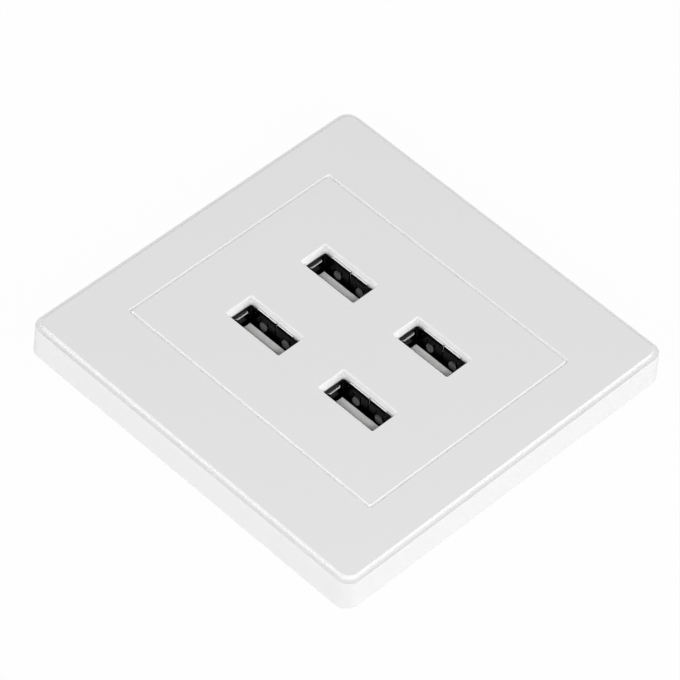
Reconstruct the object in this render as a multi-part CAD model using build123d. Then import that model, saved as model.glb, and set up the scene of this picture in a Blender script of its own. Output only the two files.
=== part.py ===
from build123d import *
import os
from math import radians, tan

# Wall socket with four USB ports. The plate's back lies on the wall at z = 0, +Z points out of the wall,
# and X runs level along the line of the two fixing screws. Millimetres.

# Cover frame
plate_size = 86.0  # square at the wall
plate_corner = 3.0
rim_height = 6.8  # wall to the ledge round the raised face
side_draft = 1.9  # degrees
ledge_width = 1.15
face_step = 0.8  # ledge to the raised face
face_corner = 2.2
face_edge = 0.15
rim_edge = 0.12
cover_wall = 1.8
cover_skin = 2.2
window_rib = 1.4

# Panel and fixing flange of the body
panel_width = 53.3
panel_length = 64.4
panel_gap = 0.04  # joint at the bottom of the groove round the panel
groove_depth = 0.38
groove_slope = 36.0  # degrees from upright
panel_corner = 0.4
panel_skin = 2.0
skirt_wall = 1.8
flange_size = 74.0
flange_corner = 4.0
flange_thickness = 2.2
fixing_spacing = 60.3
fixing_slot_width = 4.4
fixing_slot_length = 6.6
fixing_head = 8.6  # room round a fixing screw's head

# Clips that hold the frame on the flange
clip_spacing = 36.0
clip_width = 6.0
clip_thickness = 1.3
clip_nose = 0.7
clip_nose_height = 1.2
clip_gap = 0.25
catch_width = 10.0
catch_wall = 1.4
catch_height = 2.7
catch_sill = 0.7  # flange to the catch's window

# USB ports
port_pitch_x = 20.0
port_pitch_y = 25.0
shell_width = 5.72
shell_length = 13.1
shell_sheet = 0.3
shell_corner = 0.9
shell_height = 13.7
shell_depth = 1.5  # face to the shell's front edge
shell_seam = 0.35
seam_offset = 0.5  # seam and fingers off the middle, towards -Y
lip_length = 9.6
lip_height = 0.5
lip_flare = 0.2
end_drop = 1.0  # lips' front edge to that of the shell's ends
slot_gap = 0.14  # panel slot round a shell
slot_corner = 0.25
mouth_margin = 0.2  # slope of a recess's long walls, in plan
mouth_end = 0.5  # slope of its short walls
mouth_corner = 0.35
mouth_edge = 0.3
collar_wall = 1.0
collar_height = 2.0
finger_width = 1.6
finger_tip_radius = 0.95
finger_length = 1.8
finger_depth = 3.0  # shell's front edge to the middle of a finger's tip
finger_pitch = 6.0
finger_cut = 0.15
finger_lean = 3.0  # degrees
finger_tip_lean = 7.0  # degrees past the finger's
finger_tip_rise = 0.11
side_spring_width = 3.4
side_spring_length = 1.75
side_spring_rise = 0.43
side_spring_ramp = 0.4
shell_leg_width = 2.0
tongue_width = 11.1
tongue_thickness = 1.84
tongue_depth = 5.15  # face to the tongue's front
tongue_chamfer = 0.25
insulator_gap = 0.1  # insulator to its shell
insulator_base = 2.4
contact_width = 1.0
contact_thickness = 0.25
contact_bump = 0.5
contact_pitch_inner = 2.0
contact_pitch_outer = 7.0
contact_setback = 1.0  # tongue's front to a contact's end

# Boards
board_thickness = 1.6
board_margin = 1.6  # port board past the outer shells
tail_length = 1.4  # pins and legs past a board's back
hole_gap = 0.15  # plated hole round a lead
main_board_width = 44.0
main_board_length = 34.0
solder_room = 2.0
part_gap = 0.6  # parts on the main board to what stands over them
lead_radius = 0.3

# Parts on the main board
core_width = 13.0
core_length = 12.4
core_thickness = 4.6
core_leg = 2.6
core_middle_leg = 3.4
core_gap = 0.1
tube_wall = 0.6
winding_build = 1.2
bobbin_flange = 0.8
bobbin_lip = 0.2
bobbin_rail_height = 1.4
bobbin_rail_width = 2.4
bobbin_pin_pitch = 3.0
input_can_diameter = 8.0
input_can_length = 12.0
output_can_diameter = 6.3
output_can_height = 9.0
can_neck = 0.35
film_width = 10.0
film_thickness = 4.0
film_height = 8.0
disc_diameter = 5.6
disc_thickness = 3.0
fuse_diameter = 3.4
fuse_length = 9.0
choke_diameter = 6.0
choke_height = 8.0
chip_leg = 0.25  # thickness of a chip's legs
chip_standoff = 0.15
chip_bevel = 0.15
small_chip_width = 3.9
small_chip_length = 4.9
small_chip_height = 1.5
small_chip_span = 6.0
small_chip_pitch = 1.27
small_chip_leg = 0.4
bridge_width = 3.9
bridge_length = 4.7
bridge_height = 2.4
bridge_span = 6.2
bridge_pitch = 2.5
bridge_leg = 0.6
optocoupler_width = 4.4
optocoupler_length = 4.6
optocoupler_height = 2.2
optocoupler_span = 7.0
optocoupler_pitch = 2.54
optocoupler_leg = 0.5
rectifier_size = 5.0
rectifier_height = 2.3
rectifier_span = 7.0
rectifier_leg = 3.0
resistor_length = 1.6
resistor_width = 0.8
resistor_height = 0.5
resistor_pitch = 1.6
header_count = 5
header_pitch = 2.54
header_pin = 0.64

# Rear housing
housing_wall = 1.8
housing_draft = 1.0  # degrees
housing_corner = 2.0
housing_plate = 2.0  # flange that closes the body
housing_lip = 1.5  # that flange past the body's hollow
screw_head_room = 0.7  # box to a housing screw's head
screw_land = 1.55  # housing screw's head to the flange's end
board_clearance = 0.6
locating_rib = 1.2
locating_height = 1.8
locating_gap = 0.15
housing_screw_spacing = 38.0
housing_screw_radius = 1.3
housing_screw_length = 7.0
housing_screw_head = 2.2
boss_wall = 1.3
port_screw_spacing = 32.0
port_screw_radius = 1.1
port_screw_length = 6.0
port_screw_head = 1.9
screw_gap = 0.05  # pilot hole round a screw
post_radius = 2.0

# Terminals
well_width = 9.6
well_length = 9.6
well_partition = 2.0
shroud_wall = 1.4
shroud_gap = 0.8  # main board to the wells
driver_recess = 4.4  # back of the housing to a screw's head
terminal_screw_radius = 1.75
terminal_screw_length = 8.0
terminal_head_radius = 3.2
terminal_head_height = 2.0
terminal_slot = 0.9
saddle_gap = 0.4
saddle_thickness = 1.0
saddle_hole_gap = 0.15
strip_thickness = 1.2
strip_gap = 0.6  # strip to the sides of its well
strip_leg_width = 3.0
strip_leg_inset = 1.6
strip_collar = 0.8

# Heights, from the face down to the back
face_z = rim_height + face_step
cover_hollow = face_z - cover_skin
panel_back = face_z - panel_skin
shell_top = face_z - shell_depth
port_board_top = shell_top - shell_height
port_board_back = port_board_top - board_thickness
tail_z = port_board_back - tail_length
bobbin_half = core_thickness / 2 + core_gap + tube_wall + winding_build + bobbin_lip
transformer_height = bobbin_rail_height + 2 * bobbin_half
main_board_top = tail_z - part_gap - transformer_height
main_board_back = main_board_top - board_thickness
housing_floor = main_board_back - solder_room
housing_back = housing_floor - housing_wall

# Plan of the housing: the main board lies towards -Y, the terminal wells open at the +Y end
housing_width = main_board_width + 2 * board_clearance
housing_length = board_clearance + main_board_length + shroud_gap + shroud_wall + well_length
board_low = -housing_length / 2 + board_clearance
board_high = board_low + main_board_length
board_middle = (board_low + board_high) / 2
well_low = housing_length / 2 - well_length
terminal_pitch = well_width + well_partition
strip_leg_y = board_high - strip_leg_inset - strip_thickness
box_width = housing_width + 2 * housing_wall
box_length = housing_length + 2 * housing_wall
housing_screw_y = box_length / 2 + screw_head_room + housing_screw_head


def block(width, length, low, high, x=0, y=0, corner=0):
    """An upright block between two heights, with its plan centred on x, y."""
    plan = RectangleRounded(width, length, corner) if corner else Rectangle(width, length)
    return extrude(Pos(x, y, low) * plan, high - low)


def rod(radius, low, high, x=0, y=0):
    """An upright round rod between two heights."""
    return extrude(Pos(x, y, low) * Circle(radius), high - low)


def spread(sizes, low, high):
    """Centres of parts of these sizes, set out from low to high with equal gaps."""
    gap = (high - low - sum(sizes)) / (len(sizes) + 1)
    centres = []
    for size in sizes:
        low += gap
        centres.append(low + size / 2)
        low += size
    return centres


def screw(radius, length, head_radius, head_height):
    """A pan head screw along +Z: the head's underside is at z = 0 and the shank runs up from it."""
    profile = make_face(
        Polyline((0, length), (radius, length - radius / 2), (radius, 0), (head_radius, 0))
        + Line((head_radius, 0), (head_radius, -head_height / 2))
        + TangentArc((0, -head_height), (head_radius, -head_height / 2), tangent=(1, 0))
        + Line((0, -head_height), (0, length))
    )
    return revolve(Plane.XZ * profile, Axis.Z)


def cross_recess(head_radius, head_height):
    """The driver's recess in a pan head that screw() makes."""
    bar = block(1.2 * head_radius, 0.3 * head_radius, -head_height, -head_height / 2)
    return bar + Rot(0, 0, 90) * bar


def can(radius, height):
    """An electrolytic can along +Z, drawn in near its leads."""
    neck = radius - can_neck
    rim = can_neck
    profile = make_face(
        Polyline(
            (0, 0),
            (neck, 0),
            (radius, rim),
            (radius, 3 * rim),
            (neck, 4 * rim),
            (radius, 5 * rim),
            (radius, height - rim),
            (neck, height),
            (0, height),
            close=True,
        )
    )
    return revolve(Plane.XZ * profile, Axis.Z)


def chip(width, length, height, span, count, pitch, leg_width):
    """A moulded chip on z = 0 with gull-wing legs on its two X sides."""
    body = block(width, length, chip_standoff, height)
    body = chamfer(body.edges().filter_by(Axis.Z), chip_bevel)
    knee = (span / 2 + width / 2) / 2
    middle = height / 2
    path = [
        (width / 2 - chip_leg, middle - chip_leg / 2),
        (width / 2 - chip_leg, middle + chip_leg / 2),
        (knee, middle + chip_leg / 2),
        (knee + chip_leg, chip_leg),
        (span / 2, chip_leg),
        (span / 2, 0),
        (knee, 0),
        (knee - chip_leg / 2, middle - chip_leg / 2),
    ]
    leg = extrude(Plane.XZ * make_face(Polyline(*path, close=True)), leg_width / 2, both=True)
    for place in GridLocations(0, pitch, 1, count):
        body += place * leg
        body += place * mirror(leg, Plane.YZ)
    return body


def bent_lead(x, reach, height, low):
    """A lead that leaves a lying part at x and height, then turns down to low."""
    bend = 2 * lead_radius
    path = FilletPolyline((x, 0, height), (x + reach, 0, height), (x + reach, 0, low), radius=bend)
    return sweep(Plane(path @ 0, z_dir=path % 0) * Circle(lead_radius), path)


def save(name, *solids):
    """Writes one node: a piece, or a group of equal pieces."""
    shape = solids[0] if len(solids) == 1 else Compound(children=list(solids))
    export_step(shape, f"parts/{name}.step")


os.makedirs("parts", exist_ok=True)
ports = [place.position for place in GridLocations(port_pitch_x, port_pitch_y, 2, 2)]
fixings = [place.position for place in GridLocations(fixing_spacing, 0, 2, 1)]

# Cover frame: drafted square tray with a rim ledge, a raised face and a window for the panel
frame = extrude(RectangleRounded(plate_size, plate_size, plate_corner), rim_height, taper=side_draft)
frame = fillet(frame.faces().sort_by(Axis.Z)[-1].edges(), rim_edge)
raised_size = plate_size - 2 * (rim_height * tan(radians(side_draft)) + ledge_width)
raised = block(raised_size, raised_size, cover_hollow, face_z, corner=face_corner)
frame += fillet(raised.faces().sort_by(Axis.Z)[-1].edges(), face_edge)
hollow_size = plate_size - 2 * cover_wall
hollow_corner = plate_corner - cover_wall
frame -= extrude(RectangleRounded(hollow_size, hollow_size, hollow_corner), cover_hollow, taper=side_draft)
window_width = panel_width + 2 * panel_gap
window_length = panel_length + 2 * panel_gap
rib_width = window_width + 2 * window_rib
rib_length = window_length + 2 * window_rib
frame += block(rib_width, rib_length, flange_thickness, cover_hollow)
groove_low = face_z - groove_depth
window_plan = RectangleRounded(window_width, window_length, panel_corner + panel_gap)
frame -= extrude(window_plan, groove_low)
frame -= extrude(Pos(0, 0, groove_low) * window_plan, groove_depth, taper=-groove_slope)
head_slot = SlotOverall(fixing_slot_length - fixing_slot_width + fixing_head, fixing_head)
for spot in fixings:
    frame -= extrude(Pos(spot.X, 0, 0) * head_slot, cover_hollow)
catch_face = flange_size / 2
nose_top = flange_thickness + catch_height - catch_wall / 2
clip_face = catch_face + clip_gap
clip_profile = make_face(
    Polyline(
        (clip_face, cover_hollow),
        (clip_face, nose_top),
        (clip_face - clip_nose, nose_top),
        (clip_face - clip_nose, nose_top - clip_nose_height / 4),
        (clip_face, nose_top - clip_nose_height),
        (clip_face, flange_thickness),
        (clip_face + clip_thickness, flange_thickness),
        (clip_face + clip_thickness, cover_hollow),
        close=True,
    )
)
clip = extrude(Plane.YZ * clip_profile, clip_width / 2, both=True)
for side in (-1, 1):
    frame += Pos(side * clip_spacing / 2, 0, 0) * clip
    frame += Pos(side * clip_spacing / 2, 0, 0) * mirror(clip, Plane.XZ)
save("cover_frame", frame)

# Socket body: panel, skirt and fixing flange in one moulding
panel_plan = RectangleRounded(panel_width, panel_length, panel_corner)
panel = extrude(panel_plan, groove_low)
body = panel + extrude(Pos(0, 0, groove_low) * panel_plan, groove_depth, taper=groove_slope)
body += block(flange_size, flange_size, 0, flange_thickness, corner=flange_corner)
for spot in fixings:
    body -= extrude(Pos(spot.X, 0, 0) * SlotOverall(fixing_slot_length, fixing_slot_width), flange_thickness)
cavity_width = panel_width - 2 * skirt_wall
cavity_length = panel_length - 2 * skirt_wall
body -= block(cavity_width, cavity_length, 0, panel_back)
catch = block(catch_width, catch_wall, 0, flange_thickness + catch_height, y=catch_face - catch_wall / 2)
catch_window = block(
    clip_width + 4 * clip_gap,
    catch_wall,
    flange_thickness + catch_sill,
    nose_top + screw_gap * 2,
    y=catch_face - catch_wall / 2,
)
catch -= catch_window
for side in (-1, 1):
    body += Pos(side * clip_spacing / 2, 0, 0) * catch
    body += Pos(side * clip_spacing / 2, 0, 0) * mirror(catch, Plane.XZ)
boss_radius = housing_screw_radius + boss_wall
housing_screw_spots = [
    place.position for place in GridLocations(housing_screw_spacing, 2 * housing_screw_y, 2, 2)
]
for spot in housing_screw_spots:
    body += rod(boss_radius, 0, panel_back + panel_skin / 2, spot.X, spot.Y) & panel
    body -= rod(housing_screw_radius + screw_gap, 0, panel_back, spot.X, spot.Y)
port_screw_spots = [place.position for place in GridLocations(0, port_screw_spacing, 1, 2)]
for spot in port_screw_spots:
    body += rod(port_screw_radius + boss_wall, port_board_top, panel_back, spot.X, spot.Y)
    pilot_top = port_board_back + port_screw_length + tail_length
    body -= rod(port_screw_radius + screw_gap, port_board_top, pilot_top, spot.X, spot.Y)
slot_width = shell_width + 2 * (lip_flare + slot_gap)
slot_length = shell_length + 2 * slot_gap
mouth_width = slot_width + 2 * mouth_margin
mouth_length = slot_length + 2 * mouth_end
for spot in ports:
    body += block(
        slot_width + 2 * collar_wall,
        slot_length + 2 * collar_wall,
        panel_back - collar_height,
        panel_back,
        spot.X,
        spot.Y,
    )
    slot = RectangleRounded(slot_width, slot_length, slot_corner)
    mouth = RectangleRounded(mouth_width, mouth_length, mouth_corner)
    body -= extrude(Pos(spot.X, spot.Y, panel_back - collar_height) * slot, face_z - panel_back)
    body -= extrude(Pos(spot.X, spot.Y, panel_back) * slot, shell_top - panel_back)
    recess = loft([Pos(spot.X, spot.Y, shell_top) * slot, Pos(spot.X, spot.Y, face_z) * mouth])
    body -= recess
mouth_edges = [
    edge
    for edge in body.edges().filter_by_position(Axis.Z, face_z - 0.01, face_z + 0.01)
    if abs(edge.center().X) < (port_pitch_x + mouth_width + mouth_edge) / 2
    and abs(edge.center().Y) < (port_pitch_y + mouth_length + mouth_edge) / 2
]
body = fillet(mouth_edges, mouth_edge)
save("socket_body", body)

# USB ports: stamped shell, insulator with its tongue towards +X, and four spring contacts
shell = block(shell_width, shell_length, port_board_top, shell_top, corner=shell_corner)
inner_width = shell_width - 2 * shell_sheet
inner_length = shell_length - 2 * shell_sheet
shell -= block(inner_width, inner_length, port_board_top, shell_top, corner=shell_corner - shell_sheet)
wall_x = (shell_width - shell_sheet) / 2
wall_y = (shell_length - shell_sheet) / 2
end_top = shell_top - end_drop
end_length = (shell_length - lip_length) / 2
end_cut = block(shell_width, end_length, end_top, shell_top, y=(lip_length + end_length) / 2)
shell = shell - end_cut - mirror(end_cut, Plane.XZ)
lip_low = shell_top - lip_height
lip_profile = make_face(
    Polyline(
        (inner_width / 2, lip_low),
        (inner_width / 2 + lip_flare, shell_top),
        (shell_width / 2 + lip_flare, shell_top),
        (shell_width / 2, lip_low),
        close=True,
    )
)
lip = extrude(Plane.XZ * lip_profile, lip_length / 2, both=True)
lip_cut = block(2 * shell_sheet, lip_length, lip_low, shell_top, x=wall_x)
shell = shell - lip_cut - mirror(lip_cut, Plane.YZ)
shell = shell + lip + mirror(lip, Plane.YZ)
seam_width = 2 * (lip_flare + shell_sheet)
shell -= block(seam_width, shell_seam, port_board_top, shell_top, x=wall_x, y=-seam_offset)


finger = block(shell_sheet, finger_width, -finger_length, finger_cut)
finger_tip = extrude(Plane.YZ * Circle(finger_tip_radius), shell_sheet / 2, both=True)
finger += Pos(-finger_tip_rise, 0, -finger_length) * Rot(0, finger_tip_lean, 0) * finger_tip
finger = Rot(0, finger_lean, 0) * finger
hole_radius = finger_tip_radius + finger_cut
hole_plan = Pos(0, -finger_length / 2) * Rectangle(2 * hole_radius, finger_length)
hole_plan += Pos(0, -finger_length) * Circle(hole_radius)
finger_hole = extrude(Plane.YZ * hole_plan, shell_sheet, both=True)
for offset in (-finger_pitch / 2, finger_pitch / 2):
    root = Pos(wall_x, offset - seam_offset, shell_top - finger_depth + finger_length)
    shell = shell - root * finger_hole - mirror(root * finger_hole, Plane.YZ)
    shell = shell + root * finger + mirror(root * finger, Plane.YZ)
spring_low = end_top - side_spring_length
spring_half = side_spring_width / 2
spring_flat = spring_half - side_spring_ramp
spring_plan = make_face(
    Polyline(
        (-spring_half, shell_length / 2),
        (-spring_flat, shell_length / 2 - side_spring_rise),
        (spring_flat, shell_length / 2 - side_spring_rise),
        (spring_half, shell_length / 2),
        (spring_half, inner_length / 2),
        (spring_flat, inner_length / 2 - side_spring_rise),
        (-spring_flat, inner_length / 2 - side_spring_rise),
        (-spring_half, inner_length / 2),
        close=True,
    )
)
spring = extrude(Pos(0, 0, spring_low) * spring_plan, side_spring_length)
spring_cut = block(side_spring_width, 2 * shell_sheet, spring_low, end_top, y=wall_y)
shell = shell - spring_cut - mirror(spring_cut, Plane.XZ)
shell = shell + spring + mirror(spring, Plane.XZ)
for side in (-1, 1):
    shell += block(shell_leg_width, shell_sheet, tail_z, port_board_top + shell_corner, y=side * wall_y)

tongue_top = face_z - tongue_depth
base_top = port_board_top + insulator_base
insulator = block(
    inner_width - 2 * insulator_gap,
    inner_length - 2 * insulator_gap,
    port_board_top,
    base_top,
    corner=shell_corner - shell_sheet,
)
tongue_root = base_top - insulator_base / 2
tongue = block(tongue_thickness, tongue_width, tongue_root, tongue_top, x=tongue_thickness / 2)
insulator += chamfer(tongue.faces().sort_by(Axis.Z)[-1].edges(), tongue_chamfer)
contact_rows = [
    side * pitch / 2 for pitch in (contact_pitch_outer, contact_pitch_inner) for side in (-1, 1)
]
contact_top = tongue_top - contact_setback
contact_profile = make_face(
    Polyline(
        (0, tail_z),
        (0, contact_top),
        (-contact_thickness, contact_top),
        (-contact_thickness - contact_bump, contact_top - 2 * contact_bump),
        (-contact_thickness, contact_top - 5 * contact_bump),
        (-contact_thickness, tail_z),
        close=True,
    )
)
contact = extrude(Plane.XZ * contact_profile, contact_width / 2, both=True)
contact -= block(
    2 * contact_bump, contact_width, tail_z, port_board_top, y=contact_width - contact_width / 4
)
contact -= block(
    2 * contact_bump, contact_width, tail_z, port_board_top, y=contact_width / 4 - contact_width
)
for row in contact_rows:
    insulator -= block(
        contact_thickness + screw_gap,
        contact_width + 2 * screw_gap,
        port_board_top,
        base_top,
        x=-(contact_thickness + screw_gap) / 2,
        y=row,
    )
for number, spot in enumerate(ports, 1):
    here = Pos(spot.X, spot.Y, 0)
    save(f"usb_shell_{number}", here * shell)
    save(f"usb_tongue_{number}", here * insulator)
    save(f"usb_contacts_{number}", *[here * Pos(0, row, 0) * contact for row in contact_rows])

# Port board, screwed to the body's two pillars
port_board_width = port_pitch_x + shell_width + 2 * board_margin
port_board_length = port_pitch_y + shell_length + 2 * board_margin
port_board = block(port_board_width, port_board_length, port_board_back, port_board_top)
leg_hole = Rectangle(shell_leg_width + 2 * hole_gap, shell_sheet + 2 * hole_gap)
for spot in ports:
    for side in (-1, 1):
        leg_place = Pos(spot.X, spot.Y + side * wall_y, port_board_back)
        port_board -= extrude(leg_place * leg_hole, board_thickness)
    for row in contact_rows:
        port_board -= rod(
            contact_width / 4 + hole_gap,
            port_board_back,
            port_board_top,
            spot.X - contact_thickness / 2,
            spot.Y + row,
        )
for spot in port_screw_spots:
    port_board -= rod(port_screw_radius + hole_gap, port_board_back, port_board_top, spot.X, spot.Y)
header_spots = [place.position for place in GridLocations(header_pitch, 0, header_count, 1)]
pin_hole = 0.75 * header_pin + hole_gap
for spot in header_spots:
    port_board -= rod(pin_hole, port_board_back, port_board_top, spot.X, spot.Y)
save("port_board", port_board)
port_screw = screw(port_screw_radius, port_screw_length, port_screw_head, port_screw_radius)
port_screw -= cross_recess(port_screw_head, port_screw_radius)
save(
    "port_board_screws",
    *[Pos(spot.X, spot.Y, port_board_back) * port_screw for spot in port_screw_spots],
)

# Charging controllers on the back of the port board, between the header and the screws
small_chip = chip(
    small_chip_width,
    small_chip_length,
    small_chip_height,
    small_chip_span,
    4,
    small_chip_pitch,
    small_chip_leg,
)
charge_chip = Rot(180, 0, 0) * small_chip
charge_y = spread([small_chip_length], header_pitch / 2, port_screw_spacing / 2 - port_screw_head)[0]
save(
    "charge_chips",
    *[Pos(0, side * charge_y, port_board_back) * charge_chip for side in (-1, 1)],
)

# Main board: three columns of parts, with holes under every lead
left_x, middle_x, right_x = spread(
    [core_width, disc_diameter, input_can_length], -main_board_width / 2, main_board_width / 2
)
transformer_y, choke_y, varistor_y, fuse_y = spread(
    [core_length, choke_diameter, disc_thickness, fuse_diameter], board_low, strip_leg_y
)
output_y, input_y, film_y = spread(
    [output_can_diameter, input_can_diameter, film_thickness], board_low, board_high
)
bridge_y, y_capacitor_y = spread([bridge_length, disc_thickness], header_pitch / 2, board_high)
rectifier_y, optocoupler_y = spread([rectifier_size, optocoupler_length], board_low, -header_pitch / 2)
output_x = [right_x + side * (output_can_diameter + part_gap) / 2 for side in (-1, 1)]
can_leads = output_can_diameter / 5
lead_spots = []


def leads(x, y, top, spots):
    """Straight leads from a part standing at x, y down through the main board."""
    pins = []
    for offset in spots:
        lead_spots.append((x + offset[0], y + offset[1]))
        pins.append(rod(lead_radius, main_board_back - tail_length, top, x + offset[0], y + offset[1]))
    return pins


# Transformer: two E cores through a bobbin that stands on two rails of pins
core_z = main_board_top + bobbin_rail_height + bobbin_half
core_low = core_z - core_thickness / 2
core_high = core_z + core_thickness / 2
core = block(core_width, core_length, core_low, core_high, left_x, transformer_y)
window_gap = (core_width - 2 * core_leg - core_middle_leg) / 2
window_long = core_length - 2 * core_leg
for side in (-1, 1):
    core -= block(
        window_gap,
        window_long,
        core_low,
        core_high,
        left_x + side * (core_middle_leg + window_gap) / 2,
        transformer_y,
    )
half_plane = block(2 * core_width, core_length, core_low, core_high, left_x, transformer_y + core_length / 2)
save("transformer_core", core - half_plane, core & half_plane)


def sleeve_section(margin):
    """Cross-section round the middle leg of the core, larger by margin."""
    return Rectangle(core_middle_leg + 2 * margin, core_thickness + 2 * margin)


middle = Plane(origin=(left_x, transformer_y, core_z), x_dir=(1, 0, 0), z_dir=(0, -1, 0))
tube_out = core_gap + tube_wall
bobbin_long = window_long - 2 * core_gap
flange_width = core_middle_leg + 2 * window_gap - 2 * core_gap
bobbin = extrude(middle * sleeve_section(tube_out), bobbin_long / 2, both=True)
for side in (-1, 1):
    plate = block(
        flange_width,
        bobbin_flange,
        main_board_top,
        core_z + bobbin_half,
        left_x,
        transformer_y + side * (bobbin_long - bobbin_flange) / 2,
    )
    rail = block(
        core_width,
        bobbin_rail_width,
        main_board_top,
        main_board_top + bobbin_rail_height,
        left_x,
        transformer_y + side * (bobbin_long + bobbin_rail_width - 2 * bobbin_flange) / 2,
    )
    bobbin = bobbin + plate + rail
bobbin -= extrude(middle * sleeve_section(core_gap), core_length, both=True)
rail_y = (bobbin_long + bobbin_rail_width - 2 * bobbin_flange) / 2
pin_places = [(p.position.X, p.position.Y) for p in GridLocations(bobbin_pin_pitch, 2 * rail_y, 4, 2)]
for pin in leads(left_x, transformer_y, main_board_top + bobbin_rail_height / 2, pin_places):
    bobbin += pin
save("transformer_bobbin", bobbin)
winding_long = bobbin_long - 2 * bobbin_flange
winding = extrude(middle * sleeve_section(tube_out + winding_build), winding_long / 2, both=True)
winding = fillet(winding.edges().filter_by(Axis.Y), winding_build / 2)
winding -= extrude(middle * sleeve_section(tube_out), winding_long, both=True)
save("transformer_winding", winding)

# Capacitors
input_radius = input_can_diameter / 2
input_z = main_board_top + input_radius
input_can = Rot(0, 90, 0) * can(input_radius, input_can_length - 4 * lead_radius)
input_can = Pos(right_x - input_can_length / 2 + 4 * lead_radius, input_y, input_z) * input_can
input_foot = right_x - input_can_length / 2 + lead_radius
for side in (-1, 1):
    start = right_x - input_can_length / 2 + 5 * lead_radius
    lead = bent_lead(start, input_foot - start, input_z, main_board_back - tail_length)
    input_can += Pos(0, input_y + side * can_leads, 0) * lead
    lead_spots.append((input_foot, input_y + side * can_leads))
save("input_capacitor", input_can)

output_cans = []
for x in output_x:
    output_can = Pos(x, output_y, main_board_top) * can(output_can_diameter / 2, output_can_height)
    for pin in leads(x, output_y, main_board_top + can_neck, [(0, -can_leads), (0, can_leads)]):
        output_can += pin
    output_cans.append(output_can)
save("output_capacitors", *output_cans)

film = block(film_width, film_thickness, main_board_top, main_board_top + film_height, right_x, film_y)
film = fillet(film.edges().filter_by(Axis.Z), film_thickness / 8)
for pin in leads(right_x, film_y, main_board_top + lead_radius, [(-film_width / 3, 0), (film_width / 3, 0)]):
    film += pin
save("film_capacitor", film)


def disc(x, y):
    """A coated disc on edge with two leads."""
    centre = Plane(origin=(x, y, main_board_top + disc_diameter / 2 + lead_radius), z_dir=(0, 1, 0))
    coat = extrude(centre * Circle(disc_diameter / 2), disc_thickness / 2, both=True)
    coat = fillet(coat.edges().filter_by(GeomType.CIRCLE), disc_thickness / 3)
    spots = [(-disc_diameter / 4, 0), (disc_diameter / 4, 0)]
    for pin in leads(x, y, main_board_top + disc_diameter / 2, spots):
        coat += pin
    return coat


save("y_capacitor", disc(middle_x, y_capacitor_y))
save("varistor", disc(left_x, varistor_y))

# Fuse: a lying axial body with swollen ends
fuse_radius = fuse_diameter / 2
cap_long = fuse_length / 5
fuse_profile = make_face(
    Polyline(
        (0, -fuse_length / 2),
        (0.7 * fuse_radius, -fuse_length / 2),
        (fuse_radius, 0.2 * cap_long - fuse_length / 2),
        (fuse_radius, cap_long - fuse_length / 2),
        (0.85 * fuse_radius, 1.2 * cap_long - fuse_length / 2),
        (0.85 * fuse_radius, fuse_length / 2 - 1.2 * cap_long),
        (fuse_radius, fuse_length / 2 - cap_long),
        (fuse_radius, fuse_length / 2 - 0.2 * cap_long),
        (0.7 * fuse_radius, fuse_length / 2),
        (0, fuse_length / 2),
        close=True,
    )
)
fuse = Rot(0, 90, 0) * revolve(Plane.XZ * fuse_profile, Axis.Z)
fuse_drop = main_board_back - tail_length - main_board_top - fuse_radius
fuse_lead = bent_lead(fuse_length / 2 - lead_radius, 4 * lead_radius, 0, fuse_drop)
fuse = fuse + fuse_lead + mirror(fuse_lead, Plane.YZ)
save("fuse", Pos(left_x, fuse_y, main_board_top + fuse_radius) * fuse)
fuse_foot = fuse_length / 2 + 3 * lead_radius
lead_spots += [(left_x - fuse_foot, fuse_y), (left_x + fuse_foot, fuse_y)]

# Choke: a wound drum between two flanges
choke_radius = choke_diameter / 2
choke_flange = choke_height / 8
choke_profile = make_face(
    Polyline(
        (0, 0),
        (choke_radius, 0),
        (choke_radius, choke_flange),
        (0.85 * choke_radius, choke_flange),
        (0.85 * choke_radius, choke_height - choke_flange),
        (choke_radius, choke_height - choke_flange),
        (choke_radius, choke_height),
        (0, choke_height),
        close=True,
    )
)
choke = Pos(left_x, choke_y, main_board_top) * revolve(Plane.XZ * choke_profile, Axis.Z)
choke_spots = [(-choke_radius / 2, 0), (choke_radius / 2, 0)]
for pin in leads(left_x, choke_y, main_board_top + choke_flange / 2, choke_spots):
    choke += pin
save("choke", choke)

# Chips on the main board: the power ones on its front, the controller and resistors on its solder side
bridge = chip(
    bridge_width, bridge_length, bridge_height, bridge_span, 2, bridge_pitch, bridge_leg
)
save("bridge_rectifier", Pos(middle_x, bridge_y, main_board_top) * bridge)
optocoupler = chip(
    optocoupler_width,
    optocoupler_length,
    optocoupler_height,
    optocoupler_span,
    2,
    optocoupler_pitch,
    optocoupler_leg,
)
save("optocoupler", Pos(middle_x, optocoupler_y, main_board_top) * optocoupler)
rectifier = chip(rectifier_size, rectifier_size, rectifier_height, rectifier_span, 1, 0, rectifier_leg)
save("output_rectifier", Pos(middle_x, rectifier_y, main_board_top) * rectifier)
solder_side = Pos(0, 0, main_board_back) * Rot(180, 0, 0)
save("controller_chip", solder_side * Pos(middle_x, -optocoupler_y, 0) * small_chip)
resistor = block(resistor_length, resistor_width, 0, resistor_height)
resistor_row = solder_side * Pos(middle_x, -rectifier_y, 0)
resistors = [resistor_row * place * resistor for place in GridLocations(0, resistor_pitch, 1, 4)]
save("chip_resistors", *resistors)

# Pin header between the boards
header = block(header_count * header_pitch, header_pitch, main_board_top, main_board_top + header_pitch)
for spot in header_spots:
    header -= block(
        header_pin + 2 * screw_gap,
        header_pin + 2 * screw_gap,
        main_board_top,
        main_board_top + header_pitch,
        spot.X,
        spot.Y,
    )
save("pin_header", header)
header_pins = [
    block(header_pin, header_pin, main_board_back - tail_length, port_board_top + tail_length, p.X, p.Y)
    for p in header_spots
]
save("header_pins", *header_pins)

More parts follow.
